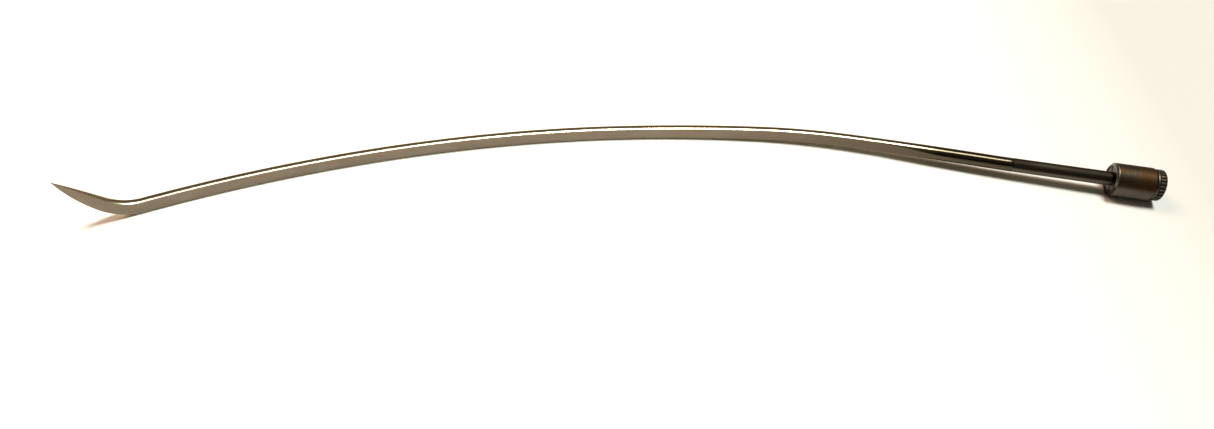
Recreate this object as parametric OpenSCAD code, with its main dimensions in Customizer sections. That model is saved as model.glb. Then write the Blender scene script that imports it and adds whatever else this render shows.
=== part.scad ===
// Curved lancet probe held in a small collet grip.
// Millimetres. Origin: the centre of the grip sleeve. +X runs along the sleeve to the serrated nut,
// +Z is up, and the probe leaves towards -X and curves to -Y. The sleeve is thicker than the probe,
// so when both lie on a table the sleeve's axis leans by table_deg. The table touches the sleeve's
// front edge and, further on, the blade.

/* [Probe] */
// Diameter of the round bar that the shank and the blade are made from
rod_d = 6; // [5:0.25:6]
// Length of bare shank between the sleeve's front face and the blade
shank_len = 40; // [20:1:60]
// Distance from the bar's axis to the brushed flat
flat_offset = 1.7; // [1.2:0.1:2.4]
// Length over which the flat runs out into the round bar
runout_len = 34; // [20:1:45]
// Length of round bar before the run-out starts
round_len = 22; // [10:1:40]
// Vertical angle between the table and the lancet where the blade bends up
tip_rise = 48; // [20:1:60]
// Radius of that upward bend, at the bar's axis
tip_bend_r = 17.5; // [8:0.5:20]
// Length of the lancet beyond the bend
tip_len = 20.5; // [16:0.5:32]

/* [Grip sleeve] */
// Outer diameter of the grip sleeve
sleeve_d = 14; // [13.8:0.1:17]
// Length of the grip sleeve
sleeve_len = 16; // [15:0.5:26]
// Width of the bright chamfer round the sleeve's front face
front_chamfer = 0.7; // [0.3:0.1:0.8]
// Width of the chamfer at the sleeve's rear edge
rear_chamfer = 0.6; // [0.2:0.1:0.7]

/* [Collet] */
// Length of the coned seat that closes the collet
seat_len = 3.5; // [3:0.5:4]
// Width of the collet's slots
slot_w = 0.8; // [0.4:0.1:1]
// How far the collet moves when the nut is slackened
collet_travel = 1; // [0.5:0.1:1]
// Wire diameter of the collet spring
wire_d = 0.5; // [0.3:0.05:0.5]
// Number of turns in the collet spring
spring_turns = 5; // [3:1:7]

/* [Nut] */
// Outer diameter of the serrated nut and its washer
nut_d = 13.4; // [12.8:0.1:13.8]
// Thickness of the smooth thrust washer
washer_t = 0.9; // [0.6:0.1:1.4]
// Length of the serrated nut
nut_len = 2.7; // [2.6:0.1:5]
// Number of serrations round the nut
serrations = 27; // [18:1:30]
// Radius of the cutter that makes each serration
serration_r = 0.45; // [0.3:0.05:0.5]

/* [Hidden] */
$fn = 96;

// Clearances: a running fit on a radius, a close fit on a radius, and a gap between faces.
run_fit = 0.05;
close_fit = 0.02;
face_gap = 0.05;
// Small bevel on the edges of turned parts.
edge = 0.15;
// How far cutters reach beyond what they cut.
over = 1;

rod_r = rod_d / 2;
sleeve_r = sleeve_d / 2;
front_x = -sleeve_len / 2;
rear_x = sleeve_len / 2;

// Sleeve bore: a coned seat, the spring chamber, and a web that guides the collet's stem.
seat_mouth_r = rod_r + 2.7;
chamber_r = rod_r + 1.9;
web_r = rod_r + 1.3;
web_len = 3.8;
seat_end_x = front_x + seat_len;
web_x = rear_x - web_len;

// Collet.
nose_recess = 0.3;
nose_x = front_x + nose_recess;
nose_r = seat_mouth_r - (seat_mouth_r - chamber_r) * nose_recess / seat_len - run_fit;
collet_bore_r = rod_r + run_fit;
head_r = chamber_r - run_fit;
stem_r = rod_r + 1.2;
head_end_x = seat_end_x + 1.5;
slot_end_x = head_end_x + 2;

// Key pin and its keyway. The pin stands radially in the web, on the sleeve's far side (+Y).
key_d = 1;
key_x = web_x + web_len / 2;
key_depth = 0.35;
key_sunk = 0.15;
key_tip_r = stem_r - key_depth;
keyway_r = key_tip_r - 2 * run_fit;
keyway_w = key_d + 2 * run_fit;
keyway_margin = 0.15;

// Stack behind the sleeve: washer, nut, and the parts inside the nut.
nut_r = nut_d / 2;
washer_x = rear_x;
nut_x = washer_x + washer_t + face_gap;
nut_end_x = nut_x + nut_len;
nut_bore_r = stem_r + run_fit;
nut_corner_r = 0.7;
nut_bevel = 0.2;
serration_lift = 0.05;
cap_r = nut_bore_r + 0.6;
cap_t = 0.75;
cap_x = nut_end_x - cap_t - face_gap;
shank_end_x = cap_x - 0.15;
shank_bevel = 0.05;
ring_t = 0.4;
ring_play = 0.03;
ring_x = shank_end_x - 0.2 - ring_t;
ring_r = rod_r + 0.8;
groove_r = rod_r - 0.4;
ring_inner_r = groove_r + close_fit;
ring_gap_deg = 70;
stem_end_x = ring_x - ring_play - face_gap;

// Joint between shank and blade: a spigot on the blade in a socket in the shank.
joint_x = front_x - shank_len;
spigot_r = rod_r / 2;
spigot_len = 8;
socket_end_x = joint_x + spigot_len + 0.2;

// Blade route in plan, from the joint to the upward bend: [length, turn towards +Y in degrees].
plan = [[10, 1.6], [24, -0.8], [36, -1.6], [40, -9], [110, -12.2], [110, -11.9], [45, -5.1]];
plan_len = 375;
// Seen from the side the blade is straight, then turns up by table_deg to lie flat on the table.
// Distances along -X from the joint.
table_deg = 1.24;
level_blend = 60;
level_from = joint_x - front_x - front_chamfer + (sleeve_r - rod_r) / tan(table_deg) - level_blend / 2;
// Lancet route in its own vertical plane: [length, turn upwards in degrees]. It goes on curving a
// little beyond the bend.
bend_len = tip_bend_r * tip_rise * PI / 180;
tip_turn = 3.3;
lancet = [[bend_len, tip_rise], [tip_len, tip_turn]];
lancet_len = bend_len + tip_len;

// Section: a circle with one flat, as [distance towards the flat, height].
back_steps = 18;
least_flat_deg = 6;
plan_rings = 58;
bend_rings = 7;
lancet_rings = 14;
// The lancet keeps its full thickness and height up to these shares of its length. Then each falls
// to the point with the given power.
thin_from = 0.25;
thin_power = 1.9;
narrow_from = 0.3;
narrow_power = 2.2;
lancet_point = 0.04;

module turned(profile) {
  rotate([0, 90, 0]) rotate_extrude() polygon(profile);
}

module along_x(x0, length, radius) {
  translate([x0, 0, 0]) rotate([0, 90, 0]) cylinder(h = length, r = radius);
}

// A flat ring on the X axis with a small chamfer on its two outer edges.
module chamfered_ring(x0, length, inner_r, outer_r, chamfer) {
  turned([[inner_r, x0], [outer_r - chamfer, x0], [outer_r, x0 + chamfer],
          [outer_r, x0 + length - chamfer], [outer_r - chamfer, x0 + length], [inner_r, x0 + length]]);
}

// ---- Routes -------------------------------------------------------------------------------

// End of an arc from p = [along, across, heading] with the given length and turn.
function arc_end(p, length, turn) =
  let (half = turn / 2,
       chord = abs(turn) < 0.001 ? length : length * sin(half) / (half * PI / 180))
  [p[0] + chord * cos(p[2] + half), p[1] + chord * sin(p[2] + half), p[2] + turn];

// Point and heading at distance s along a chain of arcs.
function on_route(route, s, i = 0, p = [0, 0, 0]) =
  let (length = route[i][0], turn = route[i][1])
  s <= length || i == len(route) - 1
    ? arc_end(p, s, turn * s / length)
    : on_route(route, s - length, i + 1, arc_end(p, length, turn));

function clamp01(t) = max(0, min(1, t));

// Height of the bar's axis at distance x along -X from the joint, and its slope in degrees there.
function rise_at(x) =
  let (u = x - level_from)
  tan(table_deg) * (u < 0 ? 0 : u < level_blend ? u * u / level_blend / 2 : u - level_blend / 2);
function slope_at(x, heading) =
  atan(tan(table_deg) * clamp01((x - level_from) / level_blend) * cos(heading));

// Distance from the axis to the flat: the bar's radius where it is round.
function flat_at(s) =
  let (t = clamp01((s - round_len) / runout_len))
  rod_r - (rod_r - flat_offset) * pow(t, 1.6);

// Outline of the bar with its flat at distance d: the flat's two ends, then round the back.
function bar_section(d) =
  let (half = max(acos(min(1, d / rod_r)), least_flat_deg))
  [for (i = [0:back_steps])
    let (a = half + (360 - 2 * half) * i / back_steps)
    [min(rod_r * cos(a), d), rod_r * sin(a)]];

// What is left of a full size at share t, when the size falls from share t0 on.
function tapered(t, t0, power) = max(lancet_point, 1 - pow(clamp01((t - t0) / (1 - t0)), power));

// Outline of the lancet at share t of its length. It keeps the flat's plane and its upper edge,
// loses thickness behind the flat, and loses height from below.
function lancet_section(t) =
  let (thick = tapered(t, thin_from, thin_power),
       tall = tapered(t, narrow_from, narrow_power),
       top = rod_r * sin(acos(flat_offset / rod_r)))
  [for (p = bar_section(flat_offset))
    [flat_offset - (flat_offset - p[0]) * thick, top - (top - p[1]) * tall]];

// A section placed at a point. heading turns in plan from -X, slope is upwards.
function placed(section, point, heading, slope) =
  let (side = [-sin(heading), -cos(heading), 0],
       up = [cos(heading) * sin(slope), -sin(heading) * sin(slope), cos(slope)])
  [for (p = section) point + side * p[0] + up * p[1]];

function plan_ring(s) =
  let (p = on_route(plan, s))
  placed(bar_section(flat_at(s)), [joint_x - p[0], p[1], rise_at(p[0])], p[2], slope_at(p[0], p[2]));

function lancet_ring(s) =
  let (root = on_route(plan, plan_len),
       p = on_route(lancet, s, 0, [0, 0, slope_at(root[0], root[2])]),
       point = [joint_x - root[0] - p[0] * cos(root[2]), root[1] + p[0] * sin(root[2]),
                rise_at(root[0]) + p[1]])
  placed(lancet_section(s / lancet_len), point, root[2], p[2]);

// Skins a list of rings that all have the same number of points, each ring turning
// anticlockwise about the direction of travel.
module skin(rings) {
  n = len(rings[0]);
  last = len(rings) - 1;
  sides = [for (i = [0:last - 1], j = [0:n - 1])
    let (k = (j + 1) % n, a = i * n + j, b = i * n + k, c = a + n, d = b + n)
    each [[a, d, b], [a, c, d]]];
  start = [for (j = [0:n - 1]) j];
  end = [for (j = [n - 1:-1:0]) last * n + j];
  polyhedron(points = [for (ring = rings, p = ring) p], faces = concat(sides, [start, end]));
}

// ---- Sub-parts ----------------------------------------------------------------------------

module grip_sleeve() {
  color("#5a3c28") difference() {
    turned([[seat_mouth_r, front_x], [sleeve_r - front_chamfer, front_x],
            [sleeve_r, front_x + front_chamfer], [sleeve_r, rear_x - rear_chamfer],
            [sleeve_r - rear_chamfer, rear_x], [web_r, rear_x], [web_r, web_x],
            [chamber_r, web_x], [chamber_r, seat_end_x]]);
    translate([key_x, 0, 0]) rotate([-90, 0, 0]) cylinder(h = sleeve_d, d = key_d + close_fit, $fn = 32);
  }
}

module key_pin() {
  color("#8a8780") translate([key_x, key_tip_r, 0]) rotate([-90, 0, 0])
    cylinder(h = sleeve_r - key_sunk - key_tip_r, d = key_d, $fn = 32);
}

module collet() {
  color("#77736c") difference() {
    turned([[collet_bore_r, nose_x], [nose_r, nose_x], [head_r, seat_end_x], [head_r, head_end_x],
            [stem_r, head_end_x], [stem_r, stem_end_x], [collet_bore_r, stem_end_x]]);
    for (a = [45, 135])
      rotate([a, 0, 0]) translate([nose_x - over, -slot_w / 2, -seat_mouth_r])
        cube([slot_end_x - nose_x + over, slot_w, 2 * seat_mouth_r]);
    translate([key_x - key_d / 2 - keyway_margin, keyway_r, -keyway_w / 2])
      cube([key_d + collet_travel + 2 * keyway_margin, stem_r, keyway_w]);
  }
}

module collet_spring() {
  mean_r = (stem_r + chamber_r) / 2;
  start_x = head_end_x + wire_d / 2 + face_gap;
  length = web_x - head_end_x - wire_d - 2 * face_gap;
  steps = 16 * spring_turns;
  rings = [for (i = [0:steps])
    let (a = 360 * i / 16, x = start_x + length * i / steps)
    [for (j = [0:7])
      let (r = mean_r + wire_d / 2 * cos(45 * j))
      [x - wire_d / 2 * sin(45 * j), r * cos(a), r * sin(a)]]];
  color("#9a9890") skin(rings);
}

module thrust_washer() {
  color("#8c8474") chamfered_ring(washer_x, washer_t, web_r, nut_r, edge);
}

module draw_nut() {
  corner = [for (a = [0:15:90])
    [nut_r - nut_corner_r + nut_corner_r * cos(a), nut_end_x - nut_corner_r + nut_corner_r * sin(a)]];
  color("#2c2822") difference() {
    turned(concat([[nut_bore_r, nut_x], [nut_r - nut_bevel, nut_x], [nut_r, nut_x + nut_bevel]], corner,
                  [[cap_r, nut_end_x], [cap_r, cap_x], [nut_bore_r, cap_x]]));
    for (i = [0:serrations - 1])
      rotate([360 * i / serrations, 0, 0]) translate([0, 0, nut_r + serration_lift])
        along_x(nut_x - over, nut_len + 2 * over, serration_r, $fn = 24);
  }
}

module end_cap() {
  r = cap_r - close_fit;
  color("#3a342c") turned([[0, cap_x], [r, cap_x], [r, cap_x + cap_t - edge],
                           [r - edge, cap_x + cap_t], [0, cap_x + cap_t]]);
}

module retaining_ring() {
  color("#6f6c66") difference() {
    translate([ring_x, 0, 0]) rotate([0, 90, 0]) difference() {
      cylinder(h = ring_t, r = ring_r);
      translate([0, 0, -over]) cylinder(h = ring_t + 2 * over, r = ring_inner_r);
    }
    translate([ring_x - over, 0, 0]) rotate([90, 0, 90]) linear_extrude(ring_t + 2 * over)
      polygon([[0, 0], 2 * ring_r * [cos(ring_gap_deg / 2), sin(ring_gap_deg / 2)],
               2 * ring_r * [cos(ring_gap_deg / 2), -sin(ring_gap_deg / 2)]]);
  }
}

module shank() {
  color("#2e2a20") turned([
    [0, socket_end_x], [spigot_r, socket_end_x], [spigot_r, joint_x],
    [rod_r, joint_x], [rod_r, ring_x - ring_play], [groove_r, ring_x - ring_play],
    [groove_r, ring_x + ring_t + ring_play], [rod_r, ring_x + ring_t + ring_play],
    [rod_r, shank_end_x - shank_bevel], [rod_r - shank_bevel, shank_end_x], [0, shank_end_x]]);
}

module blade() {
  plan_part = [for (i = [0:plan_rings]) plan_ring(plan_len * i / plan_rings)];
  bend_part = [for (i = [1:bend_rings]) lancet_ring(bend_len * i / bend_rings)];
  lancet_part = [for (i = [1:lancet_rings]) lancet_ring(bend_len + tip_len * i / lancet_rings)];
  color("#857867") union() {
    skin(concat(plan_part, bend_part, lancet_part));
    along_x(joint_x - over, spigot_len + over, spigot_r - close_fit, $fn = 32);
  }
}

grip_sleeve();
key_pin();
collet();
collet_spring();
thrust_washer();
draw_nut();
end_cap();
retaining_ring();
shank();
blade();
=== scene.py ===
"""Looks for the curved lancet probe in its collet grip. Metres, in the part's own frame."""
import math

import bpy
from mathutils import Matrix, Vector


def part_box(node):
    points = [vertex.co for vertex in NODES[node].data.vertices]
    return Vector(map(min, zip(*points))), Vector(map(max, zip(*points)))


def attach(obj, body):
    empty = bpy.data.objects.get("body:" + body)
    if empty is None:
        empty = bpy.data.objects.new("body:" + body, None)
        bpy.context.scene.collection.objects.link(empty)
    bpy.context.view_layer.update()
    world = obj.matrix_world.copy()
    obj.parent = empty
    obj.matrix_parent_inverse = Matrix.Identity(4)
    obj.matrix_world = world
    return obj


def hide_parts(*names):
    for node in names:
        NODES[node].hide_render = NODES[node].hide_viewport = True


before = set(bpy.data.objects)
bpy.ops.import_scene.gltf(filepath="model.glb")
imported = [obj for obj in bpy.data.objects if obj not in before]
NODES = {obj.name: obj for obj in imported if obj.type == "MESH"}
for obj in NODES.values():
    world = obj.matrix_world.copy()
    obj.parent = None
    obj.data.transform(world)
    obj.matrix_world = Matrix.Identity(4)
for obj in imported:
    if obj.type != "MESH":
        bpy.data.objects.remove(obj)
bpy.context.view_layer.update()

MM = 0.001
MM_PER_CM = 10
TINY = 1e-8

# ---- Sizes read from the frame, in millimetres ----------------------------------------------

sleeve_low, sleeve_high = (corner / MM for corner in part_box("grip_sleeve"))
washer_low, washer_high = (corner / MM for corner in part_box("thrust_washer"))
nut_low, nut_high = (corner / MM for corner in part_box("draw_nut"))
shank_low, shank_high = (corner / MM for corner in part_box("shank"))
cap_low, cap_high = (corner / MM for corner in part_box("end_cap"))
ring_low, ring_high = (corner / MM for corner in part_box("retaining_ring"))

SLEEVE_R = sleeve_high.z
NUT_R = washer_high.z
ROD_R = shank_high.z
CAP_R = cap_high.z
JOINT_X = shank_low.x

# ---- Sizes repeated from the part's design, in millimetres ----------------------------------

FLAT_OFFSET = 1.7
ROUND_LEN = 22
RUNOUT_LEN = 34
PLAN = [(10, 1.6), (24, -0.8), (36, -1.6), (40, -9), (110, -12.2), (110, -11.9), (45, -5.1)]
PLAN_LEN = sum(length for length, turn in PLAN)
TABLE_DEG = 1.24
TABLE_SLOPE = math.tan(math.radians(TABLE_DEG))
LEVEL_BLEND = 60
TIP_RISE = 48
TIP_LEN = 20.5
TIP_BEND_R = 17.5
BEND_LEN = TIP_BEND_R * math.radians(TIP_RISE)
LANCET = [(BEND_LEN, TIP_RISE), (TIP_LEN, 3.3)]
THIN_FROM, THIN_POWER = 0.25, 1.9
NARROW_FROM, NARROW_POWER = 0.3, 2.2
LANCET_POINT = 0.04
SPIGOT_LEN = 8
SPIGOT_R = ROD_R / 2
FRONT_CHAMFER = 0.7
REAR_CHAMFER = 0.6
SEAT_LEN = 3.5
SEAT_MOUTH_R = ROD_R + 2.7
CHAMBER_R = ROD_R + 1.9
WEB_R = ROD_R + 1.3
WEB_LEN = 3.8
KEY_D = 1
NUT_BORE_R = ROD_R + 1.25
NUT_CORNER_R = 0.7
SERRATIONS = 27
SERRATION_R = 0.45
SERRATION_LIFT = 0.05
GROOVE_R = ROD_R - 0.4

# ---- Sizes that only the looks have, in millimetres -----------------------------------------

# Bevels either side of the seam between shank and blade.
JOINT_CHAMFER = 0.12
# How far the rounding of an edge reaches.
EDGE_SOFT, EDGE_FINE = 0.05, 0.03
# Keeps faces that would lie in one place a little apart.
CLEARANCE = 0.02
# A flat this far inside the radius still counts as round.
FLAT_LEAST = 0.004
# Radius at which an end face closes.
CENTRE_R = 0.1
TABLE_HALF, TABLE_GAP = 20000, 0.02
# Usual depth of bumps, in metres.
SHALLOW = 0.02 * MM
# Segments round an axis: the sleeve and the washer, the shank, the cap, the key's hole.
SLEEVE_SEGMENTS, SHANK_SEGMENTS, CAP_SEGMENTS, HOLE_SEGMENTS = 240, 160, 120, 32

# Where the sleeve touches the table, and how far from the joint the bar starts to level out onto it.
TOUCH_X = sleeve_low.x + FRONT_CHAMFER
LEVEL_FROM = JOINT_X - TOUCH_X + (SLEEVE_R - ROD_R) / TABLE_SLOPE - LEVEL_BLEND / 2


# ---- Camera, floor and light ----------------------------------------------------------------

def add_camera():
    """The camera stands in front, looks down at 45 degrees and a little from the right."""
    azimuth, elevation = math.radians(13.06), math.radians(44.82)
    forward = Vector((-math.sin(azimuth) * math.cos(elevation),
                      math.cos(azimuth) * math.cos(elevation), -math.sin(elevation)))
    data = bpy.data.cameras.new("camera")
    data.sensor_fit = "HORIZONTAL"
    data.sensor_width = 36
    data.lens = 23.72
    data.clip_start = 0.01
    camera = bpy.data.objects.new("camera", data)
    camera.location = (-0.1605, -0.2960, 0.2306)
    camera.rotation_euler = forward.to_track_quat("-Z", "Y").to_euler()
    bpy.context.scene.collection.objects.link(camera)
    bpy.context.scene.camera = camera


def table_z(x):
    """Height of the table, which touches the sleeve's front edge and rises towards the blade."""
    return -SLEEVE_R - TABLE_SLOPE * (x - TOUCH_X)


def add_floor(material):
    """The table, far larger than the picture."""
    corners = [(x * MM, y * MM, (table_z(x) - TABLE_GAP) * MM)
               for x, y in ((-TABLE_HALF, -TABLE_HALF), (TABLE_HALF, -TABLE_HALF),
                            (TABLE_HALF, TABLE_HALF), (-TABLE_HALF, TABLE_HALF))]
    mesh = bpy.data.meshes.new("floor")
    mesh.from_pydata(corners, [], [(0, 1, 2, 3)])
    mesh.materials.append(material)
    floor = bpy.data.objects.new("floor", mesh)
    bpy.context.scene.collection.objects.link(floor)


def add_lights():
    """A soft far lamp high above, a dim warm room, and a weak warm light from the left. The warm light is
    bounced light without a sharp source, so nothing mirrors it. Each lamp has its strength, angle in
    degrees, colour, direction towards it, and whether surfaces mirror it."""
    for name, energy, angle, color, towards, mirrored in (
            ("high_lamp", 4.3, 19, (1.0, 1.0, 0.92), (0.12, 0.115, 1), True),
            ("warm_bounce", 1.7, 30, (1.0, 0.63, 0.45), (-0.8, 0.25, 1), False)):
        lamp = bpy.data.lights.new(name, "SUN")
        lamp.energy = energy
        lamp.angle = math.radians(angle)
        lamp.color = color
        lamp_object = bpy.data.objects.new(name, lamp)
        lamp_object.rotation_euler = Vector(towards).to_track_quat("Z", "Y").to_euler()
        lamp_object.visible_glossy = mirrored
        bpy.context.scene.collection.objects.link(lamp_object)

    world = bpy.data.worlds.new("room")
    bpy.context.scene.world = world
    world.use_nodes = True
    tree = world.node_tree
    background = tree.nodes["Background"]
    direction = tree.nodes.new("ShaderNodeTexCoord")
    axes = tree.nodes.new("ShaderNodeSeparateXYZ")
    tree.links.new(direction.outputs["Generated"], axes.inputs[0])
    walls = color_ramp(tree, axes.outputs["Y"], [(0.35, (0.03, 0.023, 0.015)),
                                                 (0.75, (0.20, 0.14, 0.066))])
    share = tree.nodes.new("ShaderNodeMapRange")
    share.inputs["From Min"].default_value = 0.35
    share.inputs["From Max"].default_value = 0.85
    tree.links.new(axes.outputs["Z"], share.inputs["Value"])
    mix = tree.nodes.new("ShaderNodeMix")
    mix.data_type = "RGBA"
    tree.links.new(share.outputs["Result"], mix.inputs["Factor"])
    tree.links.new(walls, mix.inputs["A"])
    mix.inputs["B"].default_value = (0.25, 0.215, 0.155, 1)
    backdrop = tree.nodes.new("ShaderNodeMix")
    backdrop.data_type = "RGBA"
    tree.links.new(tree.nodes.new("ShaderNodeLightPath").outputs["Is Camera Ray"], backdrop.inputs["Factor"])
    tree.links.new(mix.outputs["Result"], backdrop.inputs["A"])
    backdrop.inputs["B"].default_value = (0.93, 0.91, 0.87, 1)
    tree.links.new(backdrop.outputs["Result"], background.inputs["Color"])
    bpy.context.scene.view_settings.view_transform = "Standard"


# ---- Node helpers ---------------------------------------------------------------------------

def color_ramp(tree, value, stops):
    ramp = tree.nodes.new("ShaderNodeValToRGB")
    while len(ramp.color_ramp.elements) < len(stops):
        ramp.color_ramp.elements.new(0.5)
    for element, (position, color) in zip(ramp.color_ramp.elements, stops):
        element.position = position
        element.color = (*color, 1)
    tree.links.new(value, ramp.inputs["Fac"])
    return ramp.outputs["Color"]


class Shader:
    """A Principled material with short calls for the procedural parts it needs."""

    def __init__(self, name, metallic, roughness, **sockets):
        self.material = bpy.data.materials.new(name)
        self.material.use_nodes = True
        self.tree = self.material.node_tree
        self.surface = self.tree.nodes["Principled BSDF"]
        self.set("Metallic", metallic)
        self.set("Roughness", roughness)
        for socket, value in sockets.items():
            self.set(socket.replace("_", " "), value)

    def set(self, socket, value):
        self.surface.inputs[socket].default_value = value

    def coordinates(self, kind, scale):
        source = self.tree.nodes.new("ShaderNodeTexCoord")
        mapping = self.tree.nodes.new("ShaderNodeMapping")
        mapping.inputs["Scale"].default_value = scale
        self.tree.links.new(source.outputs[kind], mapping.inputs["Vector"])
        return mapping.outputs["Vector"]

    def noise(self, vector, scale, detail=4, roughness=0.6):
        node = self.tree.nodes.new("ShaderNodeTexNoise")
        node.inputs["Scale"].default_value = scale
        node.inputs["Detail"].default_value = detail
        node.inputs["Roughness"].default_value = roughness
        self.tree.links.new(vector, node.inputs["Vector"])
        return node.outputs["Fac"]

    def remap(self, value, low, high, to_low, to_high):
        node = self.tree.nodes.new("ShaderNodeMapRange")
        for socket, number in zip(("From Min", "From Max", "To Min", "To Max"), (low, high, to_low, to_high)):
            node.inputs[socket].default_value = number
        self.tree.links.new(value, node.inputs["Value"])
        return node.outputs["Result"]

    def math(self, operation, a, b=None):
        node = self.tree.nodes.new("ShaderNodeMath")
        node.operation = operation
        for i, value in enumerate((a, b)):
            if isinstance(value, (int, float)):
                node.inputs[i].default_value = value
            elif value is not None:
                self.tree.links.new(value, node.inputs[i])
        return node.outputs[0]

    def mix(self, factor, a, b):
        node = self.tree.nodes.new("ShaderNodeMix")
        node.data_type = "RGBA"
        self.tree.links.new(factor, node.inputs["Factor"])
        for socket, value in (("A", a), ("B", b)):
            if isinstance(value, tuple):
                node.inputs[socket].default_value = (*value, 1)
            else:
                self.tree.links.new(value, node.inputs[socket])
        return node.outputs["Result"]

    def axis(self, kind, letter):
        source = self.tree.nodes.new("ShaderNodeTexCoord")
        axes = self.tree.nodes.new("ShaderNodeSeparateXYZ")
        self.tree.links.new(source.outputs[kind], axes.inputs[0])
        return axes.outputs[letter]

    def radius(self):
        """Distance from the grip's axis, in millimetres."""
        square = self.math("ADD", self.math("POWER", self.axis("Object", "Y"), 2),
                           self.math("POWER", self.axis("Object", "Z"), 2))
        return self.math("MULTIPLY", self.math("SQRT", square), 1 / MM)

    def painted_light_below(self, start, full):
        """Zero above height start and one under height full, in millimetres: the lower side of a piece, where
        light
        is painted in: a painted reflection of the table on the shank and the sleeve, painted shade on the
        turned face."""
        return self.remap(self.axis("Object", "Z"), start * MM, full * MM, 0, 1)

    def along_uv(self):
        """Stretches highlights along the UV map's first direction."""
        tangent = self.tree.nodes.new("ShaderNodeTangent")
        tangent.direction_type = "UV_MAP"
        self.link("Tangent", tangent.outputs["Tangent"])

    def combine(self, value):
        node = self.tree.nodes.new("ShaderNodeCombineXYZ")
        self.tree.links.new(value, node.inputs["X"])
        return node.outputs["Vector"]

    def link(self, socket, output):
        self.tree.links.new(output, self.surface.inputs[socket])

    def bump(self, height, strength, distance):
        node = self.tree.nodes.new("ShaderNodeBump")
        node.inputs["Strength"].default_value = strength
        node.inputs["Distance"].default_value = distance
        self.tree.links.new(height, node.inputs["Height"])
        self.tree.links.new(node.outputs["Normal"], self.surface.inputs["Normal"])


# ---- Materials ------------------------------------------------------------------------------

def paper():
    """White paper, a little darker on the right, where less light falls."""
    shader = Shader("white_paper", 0, 0.8)
    fibres = shader.noise(shader.coordinates("Object", (1, 1, 1)), 900, 5)
    tone = color_ramp(shader.tree, fibres, [(0.3, (0.88, 0.872, 0.85)), (0.7, (0.93, 0.922, 0.90))])
    sideways = shader.math("ADD", shader.axis("Object", "X"),
                           shader.math("MULTIPLY", shader.axis("Object", "Y"), 0.1))
    fade_from, fade_to = -160 * MM, 40 * MM
    shader.link("Base Color", shader.mix(shader.remap(sideways, fade_from, fade_to, 0, 1), tone,
                                         (0.49, 0.505, 0.505)))
    shader.bump(fibres, 0.1, 2.5 * SHALLOW)
    return shader.material


def joint_stains(shader):
    """Two shares that are one near the joint and zero further out: the shank's dark scale where the blade
    is still round, and a longer stain that fades along the flat."""
    edge = shader.noise(shader.coordinates("UV", (0.8, 3, 1)), 1.5, 4)
    distance = shader.math("ADD", shader.axis("UV", "X"), shader.math("MULTIPLY", edge, 1.2))
    return shader.remap(distance, 3.6, 5.0, 1, 0), shader.remap(distance, 4.5, 15, 1, 0)


def brushed_flat():
    """Ground flat of the blade: fine streaks along its length. The UV map is in centimetres."""
    shader = Shader("brushed_flat", 1, 0.45)
    streaks = shader.noise(shader.coordinates("UV", (0.35, 60, 1)), 3, 6, 0.7)
    clouds = shader.noise(shader.coordinates("UV", (0.5, 1.5, 1)), 1.2, 3)
    tone = color_ramp(shader.tree, streaks, [(0.3, (0.150, 0.123, 0.095)), (0.7, (0.240, 0.205, 0.165))])
    stained = shader.mix(shader.remap(clouds, 0.35, 0.7, 0, 0.45), tone, (0.135, 0.104, 0.070))
    scale, stain = joint_stains(shader)
    stained = shader.mix(stain, stained, (0.100, 0.080, 0.058))
    shader.link("Base Color", shader.mix(scale, stained, (0.085, 0.072, 0.05)))
    shader.link("Roughness", shader.remap(streaks, 0.3, 0.7, 0.52, 0.38))
    shader.bump(streaks, 0.25, 1.5 * SHALLOW)
    return shader.material


def polished_back():
    """Rounded back of the blade: polished, with faint lengthwise scratches."""
    shader = Shader("polished_back", 1, 0.24, Anisotropic=0.8)
    shader.along_uv()
    streaks = shader.noise(shader.coordinates("UV", (0.2, 45, 1)), 3, 6, 0.7)
    clouds = shader.noise(shader.coordinates("UV", (0.6, 1, 1)), 1.4, 4)
    tone = color_ramp(shader.tree, streaks, [(0.3, (0.36, 0.31, 0.225)), (0.7, (0.46, 0.405, 0.31))])
    stained = shader.mix(shader.remap(clouds, 0.45, 0.75, 0, 0.5), tone, (0.27, 0.20, 0.11))
    scale, stain = joint_stains(shader)
    stained = shader.mix(stain, stained, (0.22, 0.19, 0.125))
    shader.link("Base Color", shader.mix(scale, stained, (0.060, 0.050, 0.033)))
    shader.link("Roughness", shader.remap(streaks, 0.3, 0.7, 0.31, 0.23))
    shader.bump(streaks, 0.15, SHALLOW)
    return shader.material


def dark_rod():
    """Bare shank: drawn rod under a dull dark heat scale."""
    shader = Shader("dark_rod", 1, 0.6)
    streaks = shader.noise(shader.coordinates("Object", (60, 900, 900)), 1, 5)
    clouds = shader.noise(shader.coordinates("Object", (120, 260, 260)), 1, 4)
    tone = color_ramp(shader.tree, streaks, [(0.3, (0.011, 0.009, 0.006)), (0.7, (0.028, 0.024, 0.017))])
    scaled = shader.mix(shader.remap(clouds, 0.5, 0.75, 0, 0.8), tone, (0.030, 0.017, 0.009))
    # Painted reflection: under the axis the shank turns a lighter grey, standing in for the lit table it
    # mirrors.
    shader.link("Base Color", shader.mix(shader.painted_light_below(0.9, 0.1), scaled, (0.115, 0.104, 0.082)))
    shader.link("Roughness", shader.remap(clouds, 0.3, 0.7, 0.52, 0.64))
    shader.bump(streaks, 0.15, SHALLOW)
    return shader.material


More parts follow.
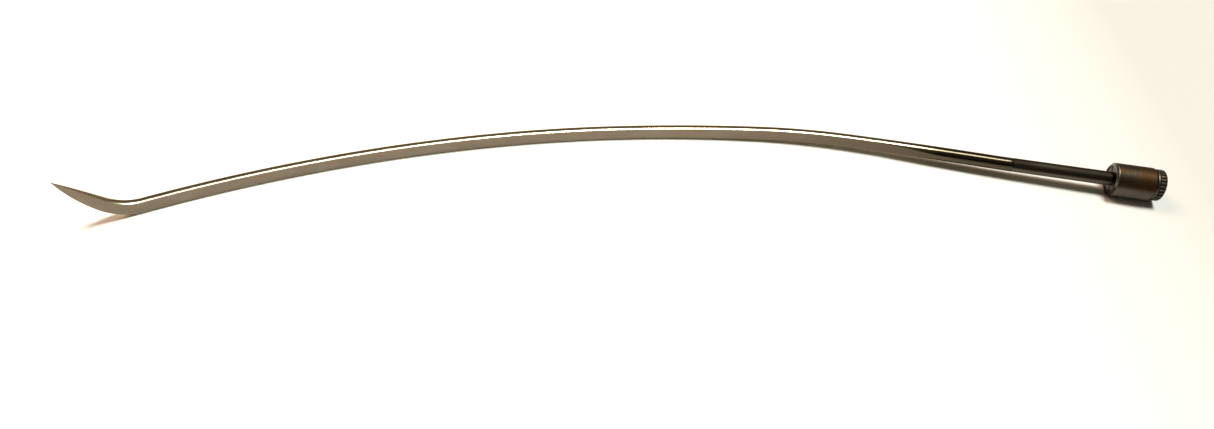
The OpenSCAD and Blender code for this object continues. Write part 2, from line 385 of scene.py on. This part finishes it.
def brown_patina():
    """Turned steel under a thin dark brown film, browner towards the rear."""
    shader = Shader("brown_patina", 1, 0.56)
    turning = shader.noise(shader.coordinates("Object", (2400, 60, 60)), 1, 4)
    patches = shader.noise(shader.coordinates("Object", (150, 200, 200)), 1, 4, 0.6)
    specks = shader.noise(shader.coordinates("Object", (1, 1, 1)), 1900, 3)
    steel = color_ramp(shader.tree, turning, [(0.3, (0.026, 0.019, 0.012)), (0.7, (0.046, 0.036, 0.025))])
    rust = color_ramp(shader.tree, specks, [(0.35, (0.036, 0.018, 0.007)), (0.65, (0.062, 0.032, 0.013))])
    place = shader.remap(shader.axis("Object", "X"), -6 * MM, 1 * MM, -0.10, 0.10)
    rusty = shader.remap(shader.math("ADD", patches, place), 0.38, 0.60, 0, 1)
    # Painted reflection: the sleeve's lower side gets a lighter grey and more roughness, standing in for the
    # lit table it mirrors.
    wear_and_painted_reflection = shader.painted_light_below(2.0, 0.4)
    shader.link("Base Color", shader.mix(wear_and_painted_reflection, shader.mix(rusty, steel, rust), (0.145, 0.128, 0.102)))
    shader.link("Roughness", shader.math("ADD", shader.remap(rusty, 0, 1, 0.50, 0.58),
                                         shader.math("MULTIPLY", wear_and_painted_reflection, 0.18)))
    shader.bump(turning, 0.2, SHALLOW)
    return shader.material


def turned_bright():
    """Bright turned face and chamfer, with fine concentric tool marks."""
    shader = Shader("turned_bright", 1, 0.25)
    rings = shader.noise(shader.combine(shader.radius()), 9, 4, 0.7)
    stains = shader.noise(shader.coordinates("Object", (1, 1, 1)), 420, 4)
    tone = color_ramp(shader.tree, rings, [(0.3, (0.15, 0.135, 0.11)), (0.7, (0.27, 0.245, 0.205))])
    stained = shader.mix(shader.remap(stains, 0.5, 0.72, 0, 0.7), tone, (0.07, 0.047, 0.028))
    # Painted shade: towards its lower side the face and chamfer turn near black, where they mirror the rod's
    # shadow on the table.
    shader.link("Base Color", shader.mix(shader.painted_light_below(3.5, 0.5), stained, (0.024, 0.020, 0.015)))
    shader.link("Roughness", shader.remap(rings, 0.3, 0.7, 0.46, 0.34))
    shader.bump(rings, 0.2, SHALLOW)
    return shader.material


def dark_collet():
    """Hardened collet, also lining the sleeve's bore: dull dark grey with fine concentric rings."""
    shader = Shader("dark_collet", 1, 0.36)
    rings = shader.noise(shader.combine(shader.radius()), 7, 4, 0.7)
    shader.link("Base Color", color_ramp(shader.tree, rings, [(0.3, (0.05, 0.043, 0.031)),
                                                              (0.7, (0.10, 0.088, 0.068))]))
    shader.bump(rings, 0.15, SHALLOW)
    return shader.material


def black_serrated():
    """Blackened nut: soot-dark grooves, crests rubbed to grey and a little brown."""
    shader = Shader("black_serrated", 0.8, 0.42)
    grime = shader.noise(shader.coordinates("Object", (1, 1, 1)), 900, 4)
    wear = shader.remap(shader.radius(), NUT_R - 0.30, NUT_R - 0.02, 0, 1)
    wear_and_painted_reflection = color_ramp(shader.tree, grime, [(0.35, (0.034, 0.025, 0.016)), (0.65, (0.085, 0.074, 0.056))])
    shader.link("Base Color", shader.mix(wear, (0.014, 0.011, 0.009), wear_and_painted_reflection))
    shader.link("Roughness", shader.remap(wear, 0, 1, 0.65, 0.36))
    shader.bump(grime, 0.2, 1.5 * SHALLOW)
    return shader.material


def satin_ring():
    """Smooth washer: fine turning marks under thin brown stains."""
    shader = Shader("satin_ring", 1, 0.38)
    turning = shader.noise(shader.coordinates("Object", (3000, 50, 50)), 1, 4)
    stains = shader.noise(shader.coordinates("Object", (1, 1, 1)), 500, 4)
    tone = color_ramp(shader.tree, turning, [(0.3, (0.075, 0.068, 0.053)), (0.7, (0.12, 0.110, 0.088))])
    shader.link("Base Color", shader.mix(shader.remap(stains, 0.45, 0.7, 0, 0.6), tone,
                                         (0.045, 0.032, 0.020)))
    shader.bump(turning, 0.15, SHALLOW)
    return shader.material


def spring_steel():
    """Clean bright wire of the spring and the snap ring."""
    shader = Shader("spring_steel", 1, 0.3)
    grain = shader.noise(shader.coordinates("Object", (1, 1, 1)), 1500, 3)
    shader.link("Base Color", color_ramp(shader.tree, grain, [(0.3, (0.26, 0.25, 0.235)),
                                                              (0.7, (0.38, 0.37, 0.35))]))
    shader.bump(grain, 0.1, SHALLOW)
    return shader.material


# ---- Mesh helpers, all lengths in millimetres -----------------------------------------------

def new_piece(name, vertices, faces, materials, face_material, uvs):
    """Makes a smooth-shaded object. uvs holds one (along, around) pair per face corner, in centimetres."""
    mesh = bpy.data.meshes.new(name)
    mesh.from_pydata([tuple(Vector(v) * MM) for v in vertices], [], faces)
    for material in materials:
        mesh.materials.append(material)
    layer = mesh.uv_layers.new(name="UVMap")
    for polygon, index, corners in zip(mesh.polygons, face_material, uvs):
        polygon.material_index = index
        polygon.use_smooth = True
        for loop, uv in zip(polygon.loop_indices, corners):
            layer.data[loop].uv = uv
    mesh.validate()
    piece = bpy.data.objects.new(name, mesh)
    bpy.context.scene.collection.objects.link(piece)
    return piece


def stitch(name, rings, lengths, materials, face_material, closed=False):
    """Joins equal rings, each turning anticlockwise about the way the list travels. A closed list joins its
    last ring to its first, an open one gets end caps. face_material(i, j) gives a face's material."""
    n, count = len(rings[0]), len(rings)
    widest = rings[count // 2]
    around = [0.0]
    for j in range(n):
        around.append(around[-1] + (widest[(j + 1) % n] - widest[j]).length / MM_PER_CM)
    faces, indices, uvs = [], [], []
    for i in range(count if closed else count - 1):
        a, b = i * n, (i + 1) % count * n
        near, far = lengths[i] / MM_PER_CM, lengths[i + 1] / MM_PER_CM
        for j in range(n):
            k = (j + 1) % n
            faces.append((a + j, a + k, b + k, b + j))
            indices.append(face_material(i, j))
            uvs.append(((near, around[j]), (near, around[j + 1]), (far, around[j + 1]), (far, around[j])))
    if not closed:
        last = (count - 1) * n
        for i, cap in ((0, tuple(range(n - 1, -1, -1))), (count - 2, tuple(range(last, last + n)))):
            faces.append(cap)
            indices.append(face_material(i, 0))
            uvs.append([(lengths[i] / MM_PER_CM, 0)] * n)
    piece = new_piece(name, [p for ring in rings for p in ring], faces, materials, indices, uvs)
    weighted = piece.modifiers.new("even_shading", "WEIGHTED_NORMAL")
    weighted.keep_sharp = True
    return piece


def softened(outline, closed):
    """Rounds the corners of an outline of (x, r, material, softness). Each point's material is that of the
    edge that starts there; its softness is how far the rounding reaches along both edges."""
    steps, count, points = 4, len(outline), []
    for i, (x, r, index, soft) in enumerate(outline):
        here = Vector((x, r))
        if soft == 0 or (not closed and i in (0, count - 1)):
            points.append((x, r, index))
            continue
        before, after = Vector(outline[i - 1][:2]), Vector(outline[(i + 1) % count][:2])
        start = here + (before - here).normalized() * soft
        end = here + (after - here).normalized() * soft
        for k in range(steps + 1):
            t = k / steps
            p = start * (1 - t) ** 2 + here * 2 * t * (1 - t) + end * t ** 2
            points.append((p.x, p.y, index))
    return points


def around_axis(segments):
    return [2 * math.pi * j / segments for j in range(segments)]


def lathe(name, outline, materials, angles, closed=True, limit=None):
    """Turns an outline round the X axis. limit(angle) is the greatest radius allowed at an angle. The
    outline runs towards +X on the outside."""
    points = softened(outline, closed)
    rings, lengths = [], [0.0]
    for i, (x, r, _) in enumerate(points):
        radii = [min(r, limit(a)) if limit else r for a in angles]
        rings.append([Vector((x, -q * math.cos(a), q * math.sin(a))) for q, a in zip(radii, angles)])
        after = points[(i + 1) % len(points)]
        lengths.append(lengths[-1] + math.hypot(after[0] - x, after[1] - r))
    for ring in rings:
        ring.reverse()
    return stitch(name, rings, lengths, materials, lambda i, j: points[i][2], closed)


def put(piece, node, body):
    """Lets a piece stand for a CAD node."""
    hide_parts(node)
    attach(piece, body)


# ---- Blade ----------------------------------------------------------------------------------

def arc_end(p, length, turn):
    """End of an arc from p = (along, across, heading in degrees)."""
    half = math.radians(turn) / 2
    chord = length if abs(half) < TINY else length * math.sin(half) / half
    middle = math.radians(p[2]) + half
    return (p[0] + chord * math.cos(middle), p[1] + chord * math.sin(middle), p[2] + turn)


def on_route(route, distance, start=(0.0, 0.0, 0.0)):
    """Point and heading at a distance along a chain of arcs."""
    p, rest = start, distance
    for length, turn in route[:-1]:
        if rest <= length:
            return arc_end(p, rest, turn * rest / length)
        p, rest = arc_end(p, length, turn), rest - length
    length, turn = route[-1]
    return arc_end(p, rest, turn * rest / length)


def clamp01(t):
    return max(0.0, min(1.0, t))


def rise_at(x):
    """Height of the bar's axis at distance x along -X from the joint."""
    u = max(0.0, x - LEVEL_FROM)
    return TABLE_SLOPE * (u * u / LEVEL_BLEND / 2 if u < LEVEL_BLEND else u - LEVEL_BLEND / 2)


def slope_at(x, heading):
    """Upward slope of the bar's axis, in radians, at distance x along -X from the joint."""
    return math.atan(TABLE_SLOPE * clamp01((x - LEVEL_FROM) / LEVEL_BLEND) * math.cos(heading))


def flat_at(distance):
    """Distance from the bar's axis to its flat, at a distance from the joint."""
    t = clamp01((distance - ROUND_LEN) / RUNOUT_LEN)
    return min(ROD_R - (ROD_R - FLAT_OFFSET) * t ** 1.6, ROD_R - FLAT_LEAST)


BACK_STEPS = 60
CORNER_STEPS = 4
FLAT_STEPS = 4
CORNER_R = 0.16


def bar_section(d, radius=ROD_R, corner=CORNER_R):
    """Outline of the bar with a flat at distance d, its two long edges softened, as (towards flat, up)."""
    across = math.sqrt(max((radius - corner) ** 2 - (d - corner) ** 2, TINY))
    turn = math.atan2(across, d - corner)
    upper = [(d - corner + corner * math.cos(turn * i / CORNER_STEPS),
              across + corner * math.sin(turn * i / CORNER_STEPS)) for i in range(CORNER_STEPS + 1)]
    back = [(radius * math.cos(a), radius * math.sin(a))
            for a in (turn + (2 * math.pi - 2 * turn) * i / BACK_STEPS for i in range(1, BACK_STEPS))]
    lower = [(x, -y) for x, y in reversed(upper)]
    flat = [(d, across * (2 * i / FLAT_STEPS - 1)) for i in range(1, FLAT_STEPS)]
    return upper + back + lower + flat


SECTION_COUNT = len(bar_section(FLAT_OFFSET))


def tapered(t, t0, power):
    """Full size up to share t0, then falling to the point, ever faster."""
    return max(LANCET_POINT, 1 - clamp01((t - t0) / (1 - t0)) ** power)


def lancet_section(t):
    """Outline of the lancet at share t of its length: thinned from behind and cut from below."""
    thick, tall = tapered(t, THIN_FROM, THIN_POWER), tapered(t, NARROW_FROM, NARROW_POWER)
    top = ROD_R * math.sin(math.acos(FLAT_OFFSET / ROD_R))
    return [(FLAT_OFFSET - (FLAT_OFFSET - x) * thick, top - (top - y) * tall)
            for x, y in bar_section(FLAT_OFFSET)]


def placed(section, point, heading, slope):
    """A section standing at a point. heading turns in plan from -X, slope is upwards, both in radians."""
    side = Vector((-math.sin(heading), -math.cos(heading), 0))
    up = Vector((math.cos(heading) * math.sin(slope), -math.sin(heading) * math.sin(slope), math.cos(slope)))
    return [point + side * x + up * y for x, y in section]


def plan_ring(distance):
    """The bar's section at a distance from the joint along its plan route."""
    along, across, heading = on_route(PLAN, distance)
    heading = math.radians(heading)
    point = Vector((JOINT_X - along, across, rise_at(along)))
    return placed(bar_section(flat_at(distance)), point, heading, slope_at(along, heading))


def lancet_ring(distance):
    """The lancet's section at a distance from the end of the plan route."""
    along, across, heading = on_route(PLAN, PLAN_LEN)
    heading = math.radians(heading)
    run, rise, slope = on_route(LANCET, distance, (0.0, 0.0, math.degrees(slope_at(along, heading))))
    point = Vector((JOINT_X - along - run * math.cos(heading), across + run * math.sin(heading),
                    rise_at(along) + rise))
    return placed(lancet_section(distance / (BEND_LEN + TIP_LEN)), point, heading, math.radians(slope))


def make_blade(flat, back):
    """The spigot in the shank, the bar along its plan route and the lancet, in one skin."""
    spigot_r, spigot_bevel = SPIGOT_R - CLEARANCE, 0.2
    rings, lengths = [], []
    for x, radius in ((SPIGOT_LEN, spigot_r - spigot_bevel), (SPIGOT_LEN - spigot_bevel, spigot_r),
                      (0, spigot_r), (0, ROD_R - JOINT_CHAMFER)):
        rings.append(placed(bar_section(radius - FLAT_LEAST, radius), Vector((JOINT_X + x, 0, 0)), 0, 0))
        lengths.append(-x)
    plan_steps, bend_steps, tip_steps = 260, 24, 60
    for i in range(plan_steps + 1):
        distance = JOINT_CHAMFER + (PLAN_LEN - JOINT_CHAMFER) * i / plan_steps
        rings.append(plan_ring(distance))
        lengths.append(distance)
    for i in range(1, bend_steps + tip_steps + 1):
        distance = BEND_LEN * i / bend_steps if i <= bend_steps else \
            BEND_LEN + TIP_LEN * (i - bend_steps) / tip_steps
        rings.append(lancet_ring(distance))
        lengths.append(PLAN_LEN + distance)
    blade = stitch("blade_detailed", rings, lengths, [flat, back],
                   lambda i, j: 0 if j >= SECTION_COUNT - FLAT_STEPS else 1)
    put(blade, "blade", "probe")


# ---- Grip -----------------------------------------------------------------------------------

def make_sleeve(patina, bright, bore):
    """The sleeve's skin with its bore, chamber and seat, and the hole for the key pin."""
    front, rear = sleeve_low.x, sleeve_high.x
    web_x, seat_x = rear - WEB_LEN, front + SEAT_LEN
    bright_band = 0.15
    outline = [(front, SEAT_MOUTH_R, 1, 0.06), (front, SLEEVE_R - FRONT_CHAMFER, 1, 0.08),
               (front + FRONT_CHAMFER, SLEEVE_R, 1, 0.14),
               (front + FRONT_CHAMFER + bright_band, SLEEVE_R, 0, 0),
               (rear - REAR_CHAMFER, SLEEVE_R, 0, 0.12), (rear, SLEEVE_R - REAR_CHAMFER, 0, 0.08),
               (rear, WEB_R, 2, EDGE_SOFT), (web_x, WEB_R, 2, EDGE_SOFT),
               (web_x, CHAMBER_R, 2, EDGE_SOFT), (seat_x, CHAMBER_R, 2, EDGE_SOFT)]
    sleeve = lathe("grip_sleeve_detailed", outline, [patina, bright, bore], around_axis(SLEEVE_SEGMENTS))
    key_x, hole_r = web_x + WEB_LEN / 2, KEY_D / 2 + CLEARANCE / 2
    hole = lathe("key_hole", [(0, hole_r, 0, 0), (SLEEVE_R + 1, hole_r, 0, 0)], [bore],
                 around_axis(HOLE_SEGMENTS), closed=False)
    hole.rotation_euler = (0, 0, math.pi / 2)
    hole.location = (key_x * MM, 0, 0)
    cut = sleeve.modifiers.new("key_hole", "BOOLEAN")
    cut.object = hole
    cut.operation = "DIFFERENCE"
    cut.solver = "EXACT"
    sleeve.modifiers.move(1, 0)
    bpy.context.view_layer.update()
    result = bpy.data.meshes.new_from_object(sleeve.evaluated_get(bpy.context.evaluated_depsgraph_get()))
    sleeve.modifiers.clear()
    sleeve.data = result
    bpy.data.objects.remove(hole)
    put(sleeve, "grip_sleeve", "grip")


def make_washer(satin):
    """The smooth ring between the sleeve and the nut."""
    near, far, bevel = washer_low.x, washer_high.x, 0.15
    outline = [(x, r, 0, EDGE_SOFT) for x, r in (
        (near, WEB_R), (near, NUT_R - bevel), (near + bevel, NUT_R),
        (far - bevel, NUT_R), (far, NUT_R - bevel), (far, WEB_R))]
    put(lathe("thrust_washer_detailed", outline, [satin], around_axis(SLEEVE_SEGMENTS)),
        "thrust_washer", "grip")


def groove_limit(angle):
    """Greatest radius the serrations leave at an angle."""
    pitch, centre = 2 * math.pi / SERRATIONS, NUT_R + SERRATION_LIFT
    off = (angle + pitch / 2) % pitch - pitch / 2
    reach = SERRATION_R ** 2 - (centre * math.sin(off)) ** 2
    return centre * math.cos(off) - math.sqrt(reach) if reach > 0 else 2 * NUT_R


def serrated_angles():
    """Angles that follow each groove closely and put a vertex on both its edges."""
    pitch, centre = 2 * math.pi / SERRATIONS, NUT_R + SERRATION_LIFT
    edge = math.acos((centre ** 2 + NUT_R ** 2 - SERRATION_R ** 2) / (2 * centre * NUT_R))
    steps, crest_steps = 10, 4
    inside = [edge * math.sin(math.pi / 2 * (2 * i / steps - 1)) for i in range(steps + 1)]
    crest = [edge + (pitch - 2 * edge) * i / crest_steps for i in range(1, crest_steps)]
    return [tooth * pitch + a for tooth in range(SERRATIONS) for a in inside + crest]


def make_nut(serrated):
    """The nut's serrated skin, with its rounded rear corner and the pocket for the cap."""
    near, far = nut_low.x, nut_high.x
    bevel, soft, steps, pocket_r = 0.2, 0.04, 12, CAP_R + CLEARANCE
    corner = [(far - NUT_CORNER_R + NUT_CORNER_R * math.sin(a),
               NUT_R - NUT_CORNER_R + NUT_CORNER_R * math.cos(a), 0, 0)
              for a in (math.pi / 2 * i / steps for i in range(steps + 1))]
    face = [(near, NUT_BORE_R, 0, soft), (near, NUT_R - bevel, 0, soft), (near + bevel, NUT_R, 0, soft)]
    pocket = [(far, pocket_r, 0, EDGE_SOFT), (cap_low.x, pocket_r, 0, 0), (cap_low.x, NUT_BORE_R, 0, 0)]
    put(lathe("draw_nut_detailed", face + corner + pocket, [serrated], serrated_angles(), limit=groove_limit),
        "draw_nut", "nut")


def make_cap(serrated):
    """A disc with a small centre mark in its outer face."""
    near, far, bevel = cap_low.x, cap_high.x, 0.15
    mark_r, mark_floor_r, mark_depth = 0.6, 0.4, 0.1
    outline = [(near, CAP_R - 0.1, 0, 0), (near, CAP_R, 0, EDGE_FINE), (far - bevel, CAP_R, 0, EDGE_SOFT),
               (far, CAP_R - bevel, 0, EDGE_SOFT), (far, mark_r, 0, EDGE_SOFT),
               (far - mark_depth, mark_floor_r, 0, EDGE_FINE), (far - mark_depth - 0.02, 0.05, 0, 0)]
    put(lathe("end_cap_detailed", outline, [serrated], around_axis(CAP_SEGMENTS), closed=False),
        "end_cap", "nut")


def make_shank(rod):
    """The rod with the blade's socket in front and the retaining ring's groove behind."""
    socket, end, bevel = JOINT_X + SPIGOT_LEN + 0.2, shank_high.x, 0.05
    near, far = ring_low.x - 0.03, ring_high.x + 0.03
    outline = [(socket, CENTRE_R, 0, 0), (socket, SPIGOT_R, 0, EDGE_FINE), (JOINT_X, SPIGOT_R, 0, EDGE_FINE),
               (JOINT_X, ROD_R - JOINT_CHAMFER, 0, 0.04), (JOINT_X + JOINT_CHAMFER, ROD_R, 0, 0.06),
               (near, ROD_R, 0, EDGE_FINE), (near, GROOVE_R, 0, EDGE_FINE), (far, GROOVE_R, 0, EDGE_FINE),
               (far, ROD_R, 0, EDGE_FINE), (end - bevel, ROD_R, 0, 0.02), (end, ROD_R - bevel, 0, 0.02),
               (end, CENTRE_R, 0, 0)]
    put(lathe("shank_detailed", outline, [rod], around_axis(SHANK_SEGMENTS), closed=False),
        "shank", "probe")


# ---- Build ----------------------------------------------------------------------------------

def paint(node, material):
    """Gives a CAD node's object one material."""
    mesh = NODES[node].data
    mesh.materials.clear()
    mesh.materials.append(material)
    for polygon in mesh.polygons:
        polygon.material_index = 0


def build():
    add_camera()
    add_lights()
    add_floor(paper())
    bright, collet, serrated, spring = turned_bright(), dark_collet(), black_serrated(), spring_steel()
    make_blade(brushed_flat(), polished_back())
    make_shank(dark_rod())
    make_sleeve(brown_patina(), bright, collet)
    make_washer(satin_ring())
    make_nut(serrated)
    make_cap(serrated)
    for node, material in (("collet", collet), ("key_pin", bright), ("collet_spring", spring),
                           ("retaining_ring", spring)):
        paint(node, material)


build()
